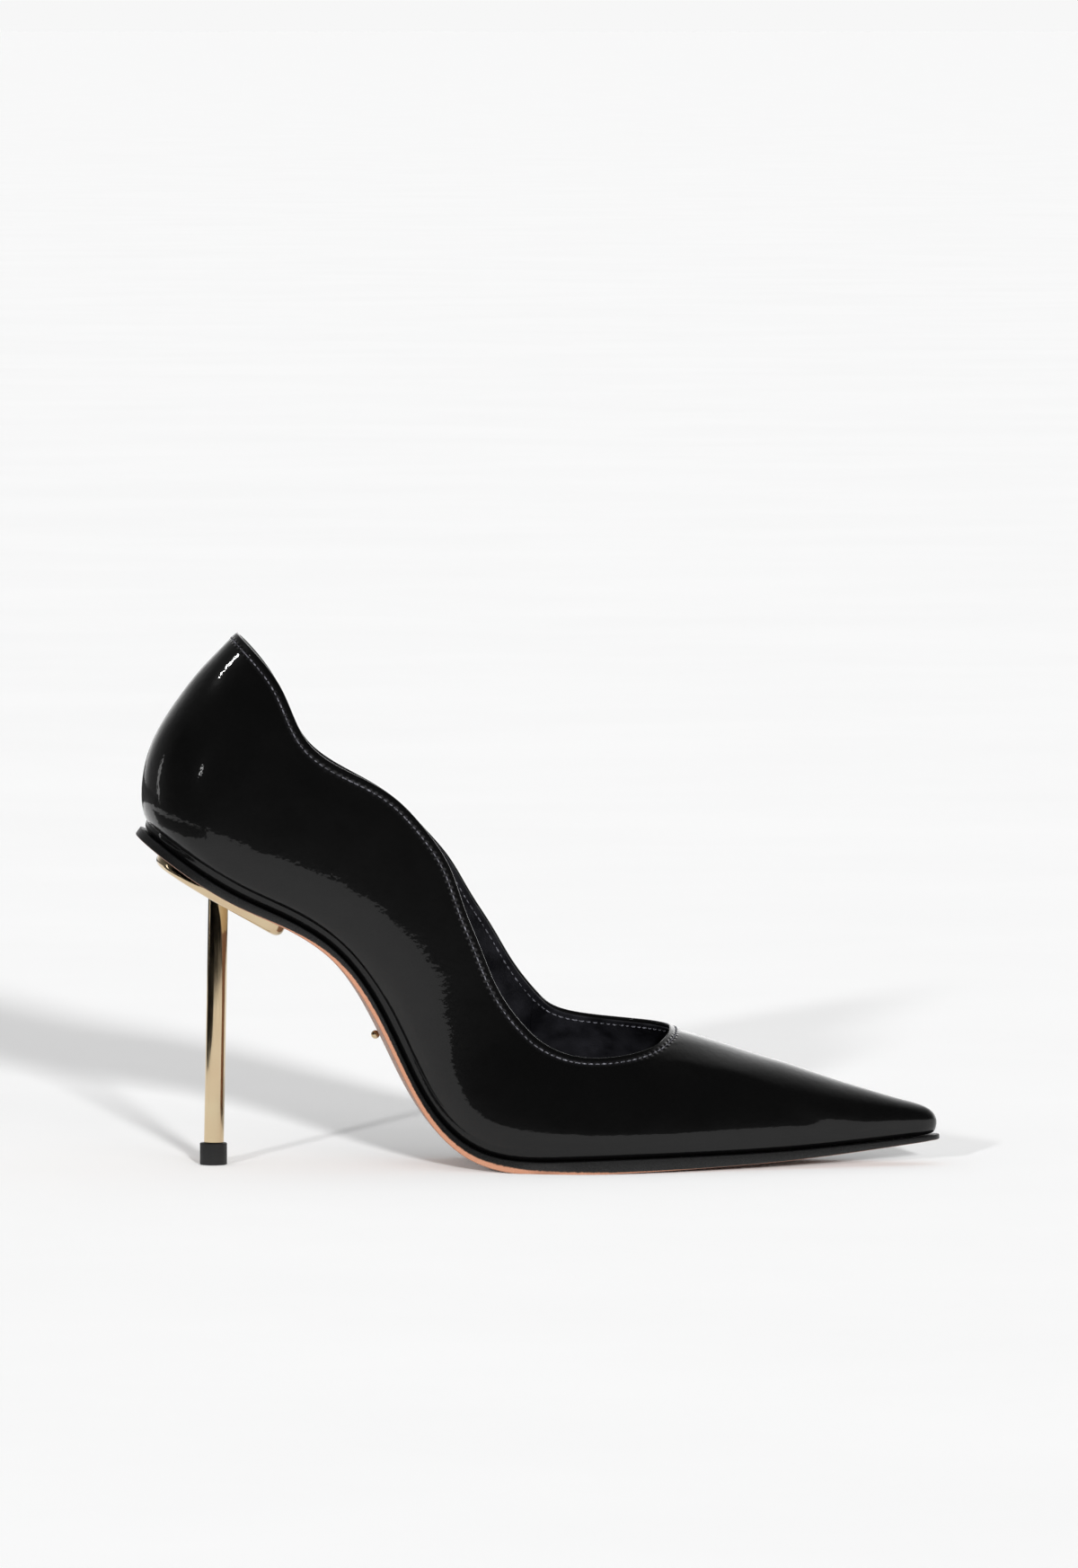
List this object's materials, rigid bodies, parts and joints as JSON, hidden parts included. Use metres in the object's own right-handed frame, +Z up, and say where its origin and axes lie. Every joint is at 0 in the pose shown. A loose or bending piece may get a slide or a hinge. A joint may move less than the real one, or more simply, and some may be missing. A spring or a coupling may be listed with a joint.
{
  "type": "high heel pump",
  "caption": "Pointed patent leather court shoe with a wave-shaped topline, on a gilt metal plate and slim pin heel with a black top lift.",
  "frame": {"origin": "centre of the heel tip's walking face, on the floor", "axes": "+X from the heel to the toe along the floor, +Z up, +Y towards the inner (medial) side of this right shoe"},
  "size_m": [0.2424, 0.078, 0.1604],
  "materials": {
    "black_patent_leather": "mirror-gloss patent coating over grained calf",
    "black_lining_leather": "fine grain, satin",
    "stiffener_sheet": "thermoplastic sheet, unpainted",
    "insole_board": "cellulose board",
    "spring_steel": "bright rolled",
    "cork_filler": "cork and felt compound",
    "sole_leather": "tan rose bottom, black painted edge",
    "black_sock_leather": "fine grain, satin",
    "latex_foam": "soft foam",
    "gilt_metal": "polished pale gold plating",
    "black_top_lift": "matte polyurethane"
  },
  "bodies": {
    "root": {"upper_wholecut": "black_patent_leather", "vamp_lining": "black_lining_leather", "quarter_lining_lateral": "black_lining_leather", "quarter_lining_medial": "black_lining_leather", "heel_grip_lining": "black_lining_leather", "toe_puff": "stiffener_sheet", "heel_counter": "stiffener_sheet", "insole_board": "insole_board", "shank_board": "insole_board", "steel_shank": "spring_steel", "shank_rivet_front": "spring_steel", "shank_rivet_rear": "spring_steel", "bottom_filler": "cork_filler", "outsole": "sole_leather", "sock_lining": "black_sock_leather", "ball_cushion": "latex_foam", "heel_cushion": "latex_foam", "heel_plate": "gilt_metal", "heel_plate_screws": "spring_steel", "heel_pin": "gilt_metal", "heel_tip": "black_top_lift", "heel_tip_dowel": "spring_steel", "sole_stud": "gilt_metal"}
  },
  "joints": []
}
